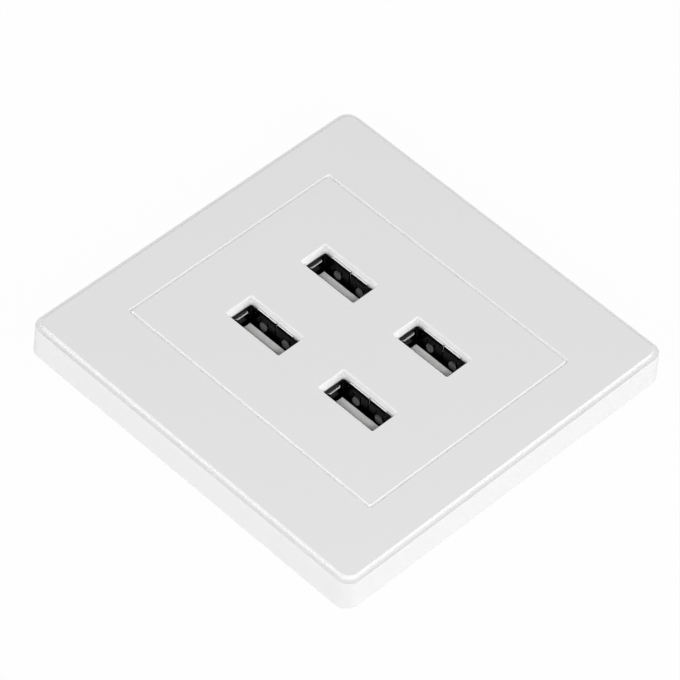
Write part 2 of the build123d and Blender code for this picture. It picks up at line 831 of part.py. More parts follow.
# Terminal strips, saddles and screws, one of each for line and neutral
screw_y = well_low + saddle_gap + (well_width - 2 * saddle_gap) / 2
head_z = housing_back + driver_recess + terminal_head_height
strip_low = head_z + saddle_thickness
strip_high = strip_low + strip_thickness
strip_width = well_width - 2 * strip_gap
strip_end = well_low + well_length - strip_gap
strip_profile = make_face(
    Polyline(
        (strip_leg_y, main_board_back - tail_length / 2),
        (strip_leg_y, strip_high),
        (strip_end, strip_high),
        (strip_end, strip_low),
        (strip_leg_y + strip_thickness, strip_low),
        (strip_leg_y + strip_thickness, main_board_back - tail_length / 2),
        close=True,
    )
)
strip = extrude(Plane.YZ * strip_profile, strip_leg_width / 2, both=True)
strip += block(
    strip_width,
    strip_end - well_low - strip_gap,
    strip_low,
    strip_high,
    y=(strip_end + well_low + strip_gap) / 2,
)
strip += rod(terminal_screw_radius + strip_collar, strip_low, strip_high + strip_thickness, y=screw_y)
strip -= rod(terminal_screw_radius + screw_gap, strip_low, strip_high + strip_thickness, y=screw_y)
saddle_size = well_width - 2 * saddle_gap
saddle = block(saddle_size, saddle_size, head_z, strip_low, y=screw_y, corner=saddle_gap)
saddle -= rod(terminal_screw_radius + saddle_hole_gap, head_z, strip_low, y=screw_y)
groove = Plane.XZ * make_face(
    Polyline((-saddle_thickness / 2, 0), (saddle_thickness / 2, 0), (0, -saddle_thickness / 2), close=True)
)
groove_x = (saddle_size / 2 + terminal_screw_radius) / 2
for side in (-1, 1):
    place = Pos(side * groove_x, screw_y, strip_low)
    saddle -= place * extrude(groove, saddle_size, both=True)
terminal_screw = screw(
    terminal_screw_radius, terminal_screw_length, terminal_head_radius, terminal_head_height
)
terminal_screw -= block(
    2 * terminal_head_radius, terminal_slot, -terminal_head_height, -terminal_head_height / 2
)
terminal_screw = Pos(0, screw_y, head_z) * terminal_screw
for name, side in (("line", -1), ("neutral", 1)):
    here = Pos(side * terminal_pitch / 2, 0, 0)
    save(f"terminal_strip_{name}", here * strip)
    save(f"terminal_saddle_{name}", here * saddle)
    save(f"terminal_screw_{name}", here * terminal_screw)

main_board = block(
    main_board_width, main_board_length, main_board_back, main_board_top, y=board_middle
)
for x, y in lead_spots:
    main_board -= rod(lead_radius + hole_gap, main_board_back, main_board_top, x, y)
for spot in header_spots:
    main_board -= rod(pin_hole, main_board_back, main_board_top, spot.X, spot.Y)
for side in (-1, 1):
    main_board -= block(
        strip_leg_width + 2 * hole_gap,
        strip_thickness + 2 * hole_gap,
        main_board_back,
        main_board_top,
        side * terminal_pitch / 2,
        strip_leg_y + strip_thickness / 2,
    )
save("main_board", main_board)

# Rear housing: box with a closing flange, posts under the main board and two wells for the terminals
box_plan = Pos(0, 0, housing_back) * RectangleRounded(box_width, box_length, housing_corner)
housing = extrude(box_plan, -housing_plate - housing_back, taper=-housing_draft)
housing = fillet(housing.faces().sort_by(Axis.Z)[0].edges(), housing_corner / 4)
plate_width = max(box_width, cavity_width) + 2 * housing_lip
screw_end = housing_screw_y + housing_screw_head + screw_land
plate_length = 2 * max(screw_end, cavity_length / 2 + housing_lip)
housing += block(plate_width, plate_length, -housing_plate, 0, corner=housing_corner)
rib_reach = cavity_width / 2 - locating_gap - locating_rib / 2
mouth_of_box = min(housing_width, 2 * rib_reach - 2 * locating_rib)
housing -= block(housing_width, housing_length, housing_floor, -housing_plate)
housing -= block(mouth_of_box, housing_length, -housing_plate, 0)
shroud_width = terminal_pitch + well_width + 2 * shroud_wall
shroud_low = well_low - shroud_wall
housing += block(
    shroud_width,
    housing_length / 2 - shroud_low,
    housing_floor,
    strip_high + shroud_wall,
    y=(housing_length / 2 + shroud_low) / 2,
)
for side in (-1, 1):
    x = side * terminal_pitch / 2
    housing -= block(
        well_width,
        2 * well_length,
        housing_back,
        strip_high,
        x,
        well_low + well_length,
    )
    housing -= block(
        strip_leg_width + 2 * hole_gap,
        2 * shroud_wall,
        strip_low - hole_gap,
        strip_high,
        x,
        shroud_low + shroud_wall / 2,
    )
    collar_radius = terminal_screw_radius + strip_collar + hole_gap
    housing -= rod(collar_radius, strip_high, strip_high + shroud_wall, x, screw_y)
post_x = main_board_width / 2 - post_radius
for place in GridLocations(2 * post_x, main_board_length - 2 * post_radius, 2, 2):
    spot = place.position
    housing += rod(post_radius, housing_floor, main_board_back, spot.X, spot.Y + board_middle)
rib_end = cavity_length / 2 - locating_gap - locating_rib / 2
for side in (-1, 1):
    housing += block(locating_rib, housing_screw_spacing, 0, locating_height, side * rib_reach, 0)
    housing += block(housing_screw_spacing / 2, locating_rib, 0, locating_height, 0, side * rib_end)
for spot in housing_screw_spots:
    housing -= rod(housing_screw_radius + hole_gap, -housing_plate, 0, spot.X, spot.Y)
save("rear_housing", housing)
housing_screw = screw(housing_screw_radius, housing_screw_length, housing_screw_head, housing_screw_radius)
housing_screw -= cross_recess(housing_screw_head, housing_screw_radius)
save(
    "housing_screws",
    *[Pos(spot.X, spot.Y, -housing_plate) * housing_screw for spot in housing_screw_spots],
)
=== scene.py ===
import bmesh
import bpy
from math import cos, pi, radians, sin
from mathutils import Matrix, Vector


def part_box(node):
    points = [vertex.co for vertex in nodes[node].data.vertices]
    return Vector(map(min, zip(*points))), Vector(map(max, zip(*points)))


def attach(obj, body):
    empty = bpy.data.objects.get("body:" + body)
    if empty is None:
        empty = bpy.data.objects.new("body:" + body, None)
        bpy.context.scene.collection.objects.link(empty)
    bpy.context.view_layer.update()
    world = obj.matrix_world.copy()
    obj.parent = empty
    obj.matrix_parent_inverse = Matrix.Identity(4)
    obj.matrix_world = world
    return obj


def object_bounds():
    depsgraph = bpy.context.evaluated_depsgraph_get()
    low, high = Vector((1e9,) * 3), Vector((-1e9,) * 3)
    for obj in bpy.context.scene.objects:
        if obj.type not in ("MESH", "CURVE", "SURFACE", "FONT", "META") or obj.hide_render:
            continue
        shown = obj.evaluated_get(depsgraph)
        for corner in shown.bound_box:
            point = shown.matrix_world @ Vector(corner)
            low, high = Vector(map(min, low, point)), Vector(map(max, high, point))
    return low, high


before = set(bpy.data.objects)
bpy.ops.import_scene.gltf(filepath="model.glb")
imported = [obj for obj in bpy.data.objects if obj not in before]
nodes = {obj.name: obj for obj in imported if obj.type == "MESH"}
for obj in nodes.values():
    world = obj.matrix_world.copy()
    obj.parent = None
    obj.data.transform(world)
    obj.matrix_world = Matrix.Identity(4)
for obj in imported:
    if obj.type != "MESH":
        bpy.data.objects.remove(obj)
cad_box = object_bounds()


# USB shells: each is one strip of steel, plated dark, stamped and folded into a box with a seam on its
# far side. The fingers and side springs are cut out of the same sheet, and its sheared edges are bare.
def place(tree, kind, inputs=None, **settings):
    """Adds one shader node. An input is a plain value or another node's output."""
    node = tree.nodes.new("ShaderNode" + kind)
    for name, value in settings.items():
        setattr(node, name, value)
    for name, value in (inputs or {}).items():
        if isinstance(value, bpy.types.NodeSocket):
            tree.links.new(value, node.inputs[name])
        else:
            node.inputs[name].default_value = value
    return node


def new_effect(name, inputs, outputs):
    tree = bpy.data.node_groups.new(name, "ShaderNodeTree")
    for label, kind in inputs.items():
        tree.interface.new_socket(label, in_out="INPUT", socket_type="NodeSocket" + kind)
    for label, kind in outputs.items():
        tree.interface.new_socket(label, in_out="OUTPUT", socket_type="NodeSocket" + kind)
    return tree, tree.nodes.new("NodeGroupInput"), tree.nodes.new("NodeGroupOutput")


def use_effect(tree, effect, **inputs):
    return place(tree, "Group", inputs, node_tree=effect)


def new_finish(name):
    finish = bpy.data.materials.new(name)
    finish.use_nodes = True
    return finish, finish.node_tree, finish.node_tree.nodes["Principled BSDF"]


def coat(finish, *names):
    for name in names:
        slots = nodes[name].data.materials
        slots.clear()
        slots.append(finish)


# Rolled sheet: fine streaks along the strip, in its colour, its shine and its surface
cloud_scale, tone_swing = 350.0, 0.25
rolled_sheet, given, made = new_effect(
    "rolled sheet",
    {"Colour": "Color", "Stretch": "Vector", "Dullness": "Float", "Spread": "Float"},
    {"Colour": "Color", "Roughness": "Float", "Height": "Float"},
)
spot = place(rolled_sheet, "TexCoord").outputs["Object"]
stretched = place(
    rolled_sheet, "VectorMath", {0: spot, 1: given.outputs["Stretch"]}, operation="MULTIPLY"
)
streak = place(rolled_sheet, "TexNoise", {"Vector": stretched.outputs[0], "Scale": 1.0, "Detail": 4.0})
cloud = place(rolled_sheet, "TexNoise", {"Vector": spot, "Scale": cloud_scale, "Detail": 2.0})
both = place(rolled_sheet, "Math", {0: streak.outputs["Fac"], 1: cloud.outputs["Fac"]}, operation="ADD")
swing = place(rolled_sheet, "Math", {0: both.outputs[0], 1: -1.0}, operation="ADD")
dull = place(
    rolled_sheet,
    "Math",
    {0: swing.outputs[0], 1: given.outputs["Spread"], 2: given.outputs["Dullness"]},
    operation="MULTIPLY_ADD",
)
tone = place(rolled_sheet, "Math", {0: swing.outputs[0], 1: tone_swing, 2: 1.0}, operation="MULTIPLY_ADD")
tinted = place(
    rolled_sheet,
    "VectorMath",
    {0: given.outputs["Colour"], "Scale": tone.outputs[0]},
    operation="SCALE",
)
rolled_sheet.links.new(tinted.outputs[0], made.inputs["Colour"])
rolled_sheet.links.new(dull.outputs[0], made.inputs["Roughness"])
rolled_sheet.links.new(streak.outputs["Fac"], made.inputs["Height"])

# Plating: worn through where the sheet was sheared level, less so on the bends. On faces that lean a little
# upward, such as the leaning lips, part of the bare steel colour is painted in. That is partly plug wear and
# partly a painted highlight where these faces catch the light from above.
plating_colour, bare_steel = (0.014, 0.014, 0.0145, 1), (0.82, 0.82, 0.83, 1)
plating_streaks, plating_spread, plating_relief = (900, 900, 9000), 0.2, 0.15
bare_roughness = 0.25  # added to the plating's
streak_depth = 0.00001
level_from, level_full = 0.9, 0.97  # upward part of a face's normal
# lean_*: share of bare steel on faces that lean a little upward, partly wear and partly painted highlight
lean_from, lean_full, lean_limit, lean_wear_and_highlight = 0.08, 0.16, 0.28, 0.3
spring_half_width, lip_half_length, lip_clearance = 0.0017, 0.0048, 0.0001
bend_plated = 0.85  # share of the plating that stays on the bends' level edges
port_middle = (0.01, 0.0125, 0)  # of every port, mirrored into one quarter of the panel

shell_finish, tree, shader = new_finish("shell plating")
plating = use_effect(
    tree, rolled_sheet, Colour=plating_colour, Stretch=plating_streaks, Dullness=0.34, Spread=plating_spread
)
facing = place(tree, "NewGeometry").outputs["True Normal"]
upward = place(tree, "SeparateXYZ", {0: facing}).outputs["Z"]
level_edge = place(tree, "MapRange", {"Value": upward, "From Min": level_from, "From Max": level_full})
spot = place(tree, "TexCoord").outputs["Object"]
mirrored = place(tree, "VectorMath", {0: spot}, operation="ABSOLUTE")
from_port = place(tree, "VectorMath", {0: mirrored.outputs[0], 1: port_middle}, operation="SUBTRACT")
offset = place(tree, "VectorMath", {0: from_port.outputs[0]}, operation="ABSOLUTE")
sideways = place(tree, "SeparateXYZ", {0: offset.outputs[0]}).outputs
off_spring = place(tree, "Math", {0: sideways["X"], 1: spring_half_width}, operation="GREATER_THAN")
off_lip = place(
    tree, "Math", {0: sideways["Y"], 1: lip_half_length + lip_clearance}, operation="GREATER_THAN"
)
bend = place(tree, "Math", {0: off_spring.outputs[0], 1: off_lip.outputs[0]}, operation="MULTIPLY")
worn = place(tree, "Math", {0: bend.outputs[0], 1: -bend_plated, 2: 1.0}, operation="MULTIPLY_ADD")
sheared = place(
    tree, "Math", {0: level_edge.outputs["Result"], 1: worn.outputs[0]}, operation="MULTIPLY"
)
# Painted highlight, partly wear: faces that lean a little upward get paler steel
leaning = place(
    tree,
    "MapRange",
    {"Value": upward, "From Min": lean_from, "From Max": lean_full, "To Max": lean_wear_and_highlight},
)
steep = place(tree, "Math", {0: upward, 1: lean_limit}, operation="LESS_THAN")
rubbed_and_highlit = place(tree, "Math", {0: leaning.outputs["Result"], 1: steep.outputs[0]}, operation="MULTIPLY")
bare_and_highlit = place(tree, "Math", {0: sheared.outputs[0], 1: rubbed_and_highlit.outputs[0]}, operation="MAXIMUM").outputs[0]
shell_colour = place(
    tree, "Mix", {0: bare_and_highlit, 6: plating.outputs["Colour"], 7: bare_steel}, data_type="RGBA"
)
shell_dullness = place(
    tree, "Math", {0: bare_and_highlit, 1: bare_roughness, 2: plating.outputs["Roughness"]}, operation="MULTIPLY_ADD"
)
tree.links.new(shell_colour.outputs[2], shader.inputs["Base Color"])
tree.links.new(shell_dullness.outputs[0], shader.inputs["Roughness"])
shader.inputs["Metallic"].default_value = 1.0
shell_relief = place(
    tree,
    "Bump",
    {"Height": plating.outputs["Height"], "Strength": plating_relief, "Distance": streak_depth},
)
tree.links.new(shell_relief.outputs[0], shader.inputs["Normal"])
coat(shell_finish, "usb_shell_1", "usb_shell_2", "usb_shell_3", "usb_shell_4")


# Shell ends: the sheet carries on round both short sides of each shell, nearly as high as the lips and
# dark to its edge. The side spring is lanced free under it and pressed in, so that the end bridges it.
def sheet_metal(name, colour, streaks, dullness, spread, relief):
    finish, tree, shader = new_finish(name)
    sheet = use_effect(tree, rolled_sheet, Colour=colour, Stretch=streaks, Dullness=dullness, Spread=spread)
    tree.links.new(sheet.outputs["Colour"], shader.inputs["Base Color"])
    tree.links.new(sheet.outputs["Roughness"], shader.inputs["Roughness"])
    shader.inputs["Metallic"].default_value = 1.0
    bump = place(
        tree, "Bump", {"Height": sheet.outputs["Height"], "Strength": relief, "Distance": streak_depth}
    )
    tree.links.new(bump.outputs[0], shader.inputs["Normal"])
    return finish


end_finish = sheet_metal(
    "shell end plating",
    plating_colour,
    plating_streaks,
    dullness=0.4,
    spread=plating_spread,
    relief=plating_relief,
)
shell_half_width, shell_half_length, shell_sheet = 0.00286, 0.00655, 0.0003
end_corner, corner_steps = 0.00045, 8
lip_to_end_top, lip_to_end_low = 0.00015, 0.001
edge_round, edge_angle = 0.00005, 50


def round_one_end(inset):
    radius = end_corner - inset
    side = [(shell_half_width - inset, lip_half_length)]
    for step in range(corner_steps + 1):
        angle = radians(90 * step / corner_steps)
        x = shell_half_width - end_corner + radius * cos(angle)
        y = shell_half_length - end_corner + radius * sin(angle)
        side.append((x, y))
    return side + [(-x, y) for x, y in reversed(side)]


def skin_rows(form, rows):
    """Closes a solid whose sections are the rows, each with as many corners as the next."""
    for here, there in zip(rows, rows[1:]):
        for corner in range(len(here)):
            after = (corner + 1) % len(here)
            form.faces.new((here[corner], there[corner], there[after], here[after]))
    form.faces.new(rows[0])
    form.faces.new(rows[-1][::-1])


def new_piece(name, form, finish):
    bmesh.ops.recalc_face_normals(form, faces=form.faces)
    mesh = bpy.data.meshes.new(name)
    form.to_mesh(mesh)
    form.free()
    mesh.materials.append(finish)
    piece = bpy.data.objects.new(name, mesh)
    bpy.context.scene.collection.objects.link(piece)
    return piece


for port in range(1, 5):
    low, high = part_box(f"usb_shell_{port}")
    middle = (low + high) / 2
    end_top, end_low = high.z - lip_to_end_top, high.z - lip_to_end_low
    form = bmesh.new()
    for way in (1, -1):
        rows = []
        for outer, inner in zip(round_one_end(0), round_one_end(shell_sheet)):
            corners = ((outer, end_top), (inner, end_top), (inner, end_low), (outer, end_low))
            rows.append(
                [form.verts.new((middle.x + way * x, middle.y + way * y, z)) for (x, y), z in corners]
            )
        skin_rows(form, rows)
    ends = new_piece(f"usb_shell_ends_{port}", form, end_finish)
    edge = ends.modifiers.new("sheared edge", "BEVEL")
    edge.width = edge_round
    edge.segments = 2
    edge.limit_method = "ANGLE"
    edge.angle_limit = radians(edge_angle)
    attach(ends, "socket")

# Insulators: white polyester blocks that plug the shells from behind, each with the thin tongue that a
# plug slides over. Moulded in one shot, with the faint grain of the tool's spark-eroded surface.
flow_scale = 70.0
moulded_skin, given, made = new_effect(
    "moulded skin",
    {"Colour": "Color", "Mottle": "Float", "Grain": "Float", "Dullness": "Float", "Spread": "Float"},
    {"Colour": "Color", "Roughness": "Float", "Height": "Float"},
)
spot = place(moulded_skin, "TexCoord").outputs["Object"]
grain = place(moulded_skin, "TexNoise", {"Vector": spot, "Scale": given.outputs["Grain"], "Detail": 2.0})
flow = place(moulded_skin, "TexNoise", {"Vector": spot, "Scale": flow_scale, "Detail": 3.0})
swing = place(moulded_skin, "Math", {0: grain.outputs["Fac"], 1: -0.5}, operation="ADD")
dull = place(
    moulded_skin,
    "Math",
    {0: swing.outputs[0], 1: given.outputs["Spread"], 2: given.outputs["Dullness"]},
    operation="MULTIPLY_ADD",
)
drift = place(moulded_skin, "Math", {0: flow.outputs["Fac"], 1: -0.5}, operation="ADD")
tone = place(
    moulded_skin,
    "Math",
    {0: drift.outputs[0], 1: given.outputs["Mottle"], 2: 1.0},
    operation="MULTIPLY_ADD",
)
tinted = place(
    moulded_skin,
    "VectorMath",
    {0: given.outputs["Colour"], "Scale": tone.outputs[0]},
    operation="SCALE",
)
moulded_skin.links.new(tinted.outputs[0], made.inputs["Colour"])
moulded_skin.links.new(dull.outputs[0], made.inputs["Roughness"])
moulded_skin.links.new(grain.outputs["Fac"], made.inputs["Height"])


def moulding(name, colour, mottle, grain, dullness, spread=0.15, relief=0.2, depth=0.00001):
    finish, tree, shader = new_finish(name)
    skin = use_effect(
        tree, moulded_skin, Colour=(*colour, 1), Mottle=mottle, Grain=grain, Dullness=dullness, Spread=spread
    )
    tree.links.new(skin.outputs["Colour"], shader.inputs["Base Color"])
    tree.links.new(skin.outputs["Roughness"], shader.inputs["Roughness"])
    bump = place(tree, "Bump", {"Height": skin.outputs["Height"], "Strength": relief, "Distance": depth})
    tree.links.new(bump.outputs[0], shader.inputs["Normal"])
    return finish


tongue_finish = moulding("insulator white", (0.94, 0.94, 0.93), mottle=0.05, grain=5000.0, dullness=0.45)
coat(tongue_finish, "usb_tongue_1", "usb_tongue_2", "usb_tongue_3", "usb_tongue_4")

# Contacts: four springs in each port, blanked from copper alloy strip and flashed with gold where a plug
# rubs. They lie along the tongue and their tails are soldered through the port board.
pin_streaks = (2500, 2500, 300)
contact_finish = sheet_metal(
    "contact gold", (0.83, 0.62, 0.26, 1), pin_streaks, dullness=0.28, spread=0.2, relief=0.2
)
coat(contact_finish, "usb_contacts_1", "usb_contacts_2", "usb_contacts_3", "usb_contacts_4")

# Boards: glass cloth laminate under green solder mask, routed to size and drilled for every lead.
# The port board hangs on two pillars of the body, and the main board lies in the rear housing.
mask_hollow, mask_thread = (0.012, 0.14, 0.055, 1), (0.022, 0.2, 0.085, 1)
yarn = {"Scale": 700.0, "Distortion": 0.4}
board_finish, tree, shader = new_finish("board laminate")
spot = place(tree, "TexCoord").outputs["Object"]
warp = place(tree, "TexWave", {"Vector": spot, **yarn}, bands_direction="X")
weft = place(tree, "TexWave", {"Vector": spot, **yarn}, bands_direction="Y")
weave = place(tree, "Math", {0: warp.outputs["Fac"], 1: weft.outputs["Fac"]}, operation="MULTIPLY")
mask_colour = place(
    tree, "Mix", {0: weave.outputs[0], 6: mask_hollow, 7: mask_thread}, data_type="RGBA"
)
mask_dullness = place(tree, "MapRange", {"Value": weave.outputs[0], "To Min": 0.3, "To Max": 0.42})
tree.links.new(mask_colour.outputs[2], shader.inputs["Base Color"])
tree.links.new(mask_dullness.outputs["Result"], shader.inputs["Roughness"])
weave_relief = place(tree, "Bump", {"Height": weave.outputs[0], "Strength": 0.2, "Distance": 0.00002})
tree.links.new(weave_relief.outputs[0], shader.inputs["Normal"])
coat(board_finish, "port_board", "main_board")

# Chips: black epoxy bodies with tinned legs bent out of their two long sides, soldered flat to the
# boards. The optocoupler is the same but moulded in white, and the resistors are tiny coated blocks.
leg_tin = (0.62, 0.62, 0.6, 1)
epoxy_black, epoxy_pale = (0.018, 0.018, 0.019, 1), (0.72, 0.71, 0.66, 1)


def legged_chip(name, body_colour, *chips, body_width):
    """Tins what stands out past the body's width, on both sides of a chip or a row of chips."""
    for chip in chips:
        finish, tree, shader = new_finish(f"{name} {chip.replace('_', ' ')}")
        low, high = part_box(chip)
        spot = place(tree, "TexCoord").outputs["Object"]
        across = place(tree, "SeparateXYZ", {0: spot}).outputs["X"]
        offset = place(tree, "Math", {0: across, 1: -(low.x + high.x) / 2}, operation="ADD")
        reach = place(tree, "Math", {0: offset.outputs[0]}, operation="ABSOLUTE")
        leg = place(tree, "Math", {0: reach.outputs[0], 1: body_width / 2}, operation="GREATER_THAN")
        skin = use_effect(
            tree, moulded_skin, Colour=body_colour, Mottle=0.3, Grain=6000.0, Dullness=0.5, Spread=0.2
        )
        colour = place(
            tree, "Mix", {0: leg.outputs[0], 6: skin.outputs["Colour"], 7: leg_tin}, data_type="RGBA"
        )
        tree.links.new(colour.outputs[2], shader.inputs["Base Color"])
        tree.links.new(leg.outputs[0], shader.inputs["Metallic"])
        tree.links.new(skin.outputs["Roughness"], shader.inputs["Roughness"])
        bump = place(
            tree, "Bump", {"Height": skin.outputs["Height"], "Strength": 0.3, "Distance": 0.00001}
        )
        tree.links.new(bump.outputs[0], shader.inputs["Normal"])
        coat(finish, chip)


legged_chip(
    "epoxy", epoxy_black, "charge_chips", "controller_chip", "bridge_rectifier", body_width=0.0039
)
legged_chip("epoxy", epoxy_black, "output_rectifier", body_width=0.005)
legged_chip("pale epoxy", epoxy_pale, "optocoupler", body_width=0.0044)
resistor_finish = moulding(
    "resistor coat", (0.02, 0.02, 0.022), mottle=0.3, grain=6000.0, dullness=0.4, spread=0.2
)
coat(resistor_finish, "chip_resistors")

# Link between the boards: a strip of black nylon with five square brass pins pressed through it,
# tinned so that they take solder at both ends.
header_finish = moulding("header nylon", (0.02, 0.02, 0.02), mottle=0.3, grain=4000.0, dullness=0.5)
coat(header_finish, "pin_header")
pin_finish = sheet_metal(
    "tinned brass", (0.70, 0.68, 0.60, 1), pin_streaks, dullness=0.34, spread=0.2, relief=0.2
)
coat(pin_finish, "header_pins")

# Transformer: two halves of sintered ferrite round a black bobbin on two rows of pins.
# The winding is covered with turns of yellow polyester tape.
ferrite_finish = moulding(
    "ferrite",
    (0.03, 0.03, 0.032),
    mottle=0.4,
    grain=3500.0,
    dullness=0.55,
    spread=0.3,
    relief=0.4,
    depth=0.00002,
)
coat(ferrite_finish, "transformer_core")
bobbin_finish = moulding(
    "bobbin phenolic", (0.018, 0.017, 0.016), mottle=0.3, grain=4000.0, dullness=0.45
)
coat(bobbin_finish, "transformer_bobbin")
tape_yellow, lap_scale, lap_waver = (0.75, 0.52, 0.05, 1), 900.0, 1.5
tape_finish, tree, shader = new_finish("winding tape")
skin = use_effect(
    tree, moulded_skin, Colour=tape_yellow, Mottle=0.25, Grain=1500.0, Dullness=0.3, Spread=0.2
)
spot = place(tree, "TexCoord").outputs["Object"]
laps = place(
    tree, "TexWave", {"Vector": spot, "Scale": lap_scale, "Distortion": lap_waver}, bands_direction="Y"
)
tree.links.new(skin.outputs["Colour"], shader.inputs["Base Color"])
tree.links.new(skin.outputs["Roughness"], shader.inputs["Roughness"])
lap_relief = place(tree, "Bump", {"Height": laps.outputs["Fac"], "Strength": 0.3, "Distance": 0.00003})
tree.links.new(lap_relief.outputs[0], shader.inputs["Normal"])
coat(tape_finish, "transformer_winding")

# Capacitors: aluminium cans in shrunk sleeves, a moulded yellow film block and a dipped blue disc,
# all standing or lying on the main board by their leads.
sleeve_finish = moulding(
    "can sleeve", (0.02, 0.022, 0.05), mottle=0.2, grain=1500.0, dullness=0.3, depth=0.00002
)
coat(sleeve_finish, "input_capacitor", "output_capacitors")
film_finish = moulding("film block", (0.72, 0.52, 0.06), mottle=0.1, grain=3000.0, dullness=0.4)
coat(film_finish, "film_capacitor")


def dipped_lacquer(name, colour, dullness):
    return moulding(
        name, colour, mottle=0.2, grain=1200.0, dullness=dullness, spread=0.2, relief=0.4, depth=0.00003
    )


disc_finish = dipped_lacquer("blue lacquer", (0.03, 0.12, 0.42), dullness=0.25)
coat(disc_finish, "y_capacitor")

# Mains entry parts: a lacquered fuse that lies on its leads, a dipped red varistor, and a choke of wire
# on a ferrite drum inside a shrunk sleeve.
fuse_finish = dipped_lacquer("fuse lacquer", (0.28, 0.42, 0.3), dullness=0.3)
coat(fuse_finish, "fuse")
varistor_finish = dipped_lacquer("red lacquer", (0.42, 0.06, 0.03), dullness=0.25)
coat(varistor_finish, "varistor")
choke_finish = moulding(
    "choke sleeve",
    (0.035, 0.035, 0.036),
    mottle=0.3,
    grain=2000.0,
    dullness=0.4,
    spread=0.2,
    relief=0.3,
    depth=0.00002,
)
coat(choke_finish, "choke")

# Socket body: the middle panel with its four tapered recesses, its skirt and the fixing flange, moulded
# in one shot of white polycarbonate. The tool is textured on the level faces, and the edges are finished by
# hand, so that the plastic is a little glossier there. The walls are painted a lighter white than the level
# faces. That is painted light, standing for the low side lamps that fall on them.
edge_reach, edge_turn, edge_gloss = 0.00025, 0.85, 0.1
soft_edges, given, made = new_effect("soft edges", {"Reach": "Float"}, {"Mask": "Float"})
rounded = place(soft_edges, "Bevel", {"Radius": given.outputs["Reach"]}, samples=4)
straight = place(soft_edges, "NewGeometry").outputs["Normal"]
agree = place(soft_edges, "VectorMath", {0: rounded.outputs[0], 1: straight}, operation="DOT_PRODUCT")
turned = place(
    soft_edges, "MapRange", {"Value": agree.outputs["Value"], "From Min": 1.0, "From Max": edge_turn}
)
soft_edges.links.new(turned.outputs["Result"], made.inputs["Mask"])
wall_from, wall_full = 0.8, 0.6  # upward part of a face's normal
satin = {"Mottle": 0.012, "Grain": 3500.0, "Dullness": 0.56, "Spread": 0.12}


def satin_white(name, textured, painted_lit_wall):
    finish, tree, shader = new_finish(name)
    facing = place(tree, "NewGeometry").outputs["True Normal"]
    upward = place(tree, "SeparateXYZ", {0: facing}).outputs["Z"]
    # Painted light: steep walls get a lighter white than the level faces, as if lit by the side lamps
    wall = place(tree, "MapRange", {"Value": upward, "From Min": wall_from, "From Max": wall_full})
    base = place(tree, "Mix", {0: wall.outputs["Result"], 6: textured, 7: painted_lit_wall}, data_type="RGBA")
    skin = use_effect(tree, moulded_skin, Colour=base.outputs[2], **satin)
    edges = use_effect(tree, soft_edges, Reach=edge_reach)
    glossier = place(
        tree,
        "Math",
        {0: edges.outputs["Mask"], 1: -edge_gloss, 2: skin.outputs["Roughness"]},
        operation="MULTIPLY_ADD",
    )
    tree.links.new(skin.outputs["Colour"], shader.inputs["Base Color"])
    tree.links.new(glossier.outputs[0], shader.inputs["Roughness"])
    bump = place(
        tree, "Bump", {"Height": skin.outputs["Height"], "Strength": 0.15, "Distance": 0.000006}
    )
    tree.links.new(bump.outputs[0], shader.inputs["Normal"])
    return finish


face_white = (0.88, 0.88, 0.88, 1)
# The walls' lighter white is painted light, for the side lamps falling on them
panel_finish = satin_white("panel white", face_white, painted_lit_wall=(0.95, 0.95, 0.95, 1))
coat(panel_finish, "socket_body")

# Terminals: brass strips with an extruded thread, and under each a zinc plated saddle that its screw
# draws up to clamp the wire. The strips' legs are soldered in the main board.
strip_finish = sheet_metal(
    "strip brass", (0.72, 0.5, 0.2, 1), (400, 3000, 3000), dullness=0.32, spread=0.25, relief=0.3
)
coat(strip_finish, "terminal_strip_line", "terminal_strip_neutral")
saddle_finish = sheet_metal(
    "saddle zinc", (0.62, 0.63, 0.65, 1), (3000, 400, 3000), dullness=0.36, spread=0.25, relief=0.3
)
coat(saddle_finish, "terminal_saddle_line", "terminal_saddle_neutral")

# Terminal screws: cold headed steel with a driver's slot, zinc plated, and a thread rolled round the
# shank. Each turns in its strip and draws its saddle up by one pitch a turn.
screw_finish = sheet_metal(
    "screw zinc", (0.64, 0.65, 0.67, 1), (2000, 2000, 2000), dullness=0.3, spread=0.25, relief=0.3
)
shank_radius, crest_radius, thread_pitch = 0.00175, 0.00189, 0.0006
flank_half, crest_half = 0.00025, 0.00004
thread_reach = 0.0069  # shank's inner end to the thread's outer end
thread_sink = 0.00003  # into the shank, so that no gap shows
thread_turns, steps_a_turn, run_out = 10, 36, 0.5
thread_profile = ((-flank_half, 0), (-crest_half, 1), (crest_half, 1), (flank_half, 0), (0, -0.5))
for line in ("line", "neutral"):
    low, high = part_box(f"terminal_screw_{line}")
    axis = (low + high) / 2
    thread_low = high.z - thread_reach
    form = bmesh.new()
    rows = []
    for step in range(thread_turns * steps_a_turn + 1):
        turns = step / steps_a_turn
        depth = (crest_radius - shank_radius) * min(1, turns / run_out, (thread_turns - turns) / run_out)
        row = []
        for along, share in thread_profile:
            reach = shank_radius + depth * share - thread_sink
            x = axis.x + reach * cos(2 * pi * turns)
            y = axis.y + reach * sin(2 * pi * turns)
            row.append(form.verts.new((x, y, thread_low + turns * thread_pitch + along)))
        rows.append(row)
    skin_rows(form, rows)
    thread = new_piece(f"terminal_thread_{line}", form, screw_finish)
    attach(thread, f"screw_{line}")
coat(screw_finish, "terminal_screw_line", "terminal_screw_neutral")

# Rear housing: a drafted box of plain white plastic that closes the body from behind. Four self-tapping
# screws hold it, and two smaller ones hold the port board.
housing_finish = moulding("housing white", (0.74, 0.74, 0.73), mottle=0.03, grain=2500.0, dullness=0.5)
coat(housing_finish, "rear_housing")
coat(screw_finish, "housing_screws", "port_board_screws")

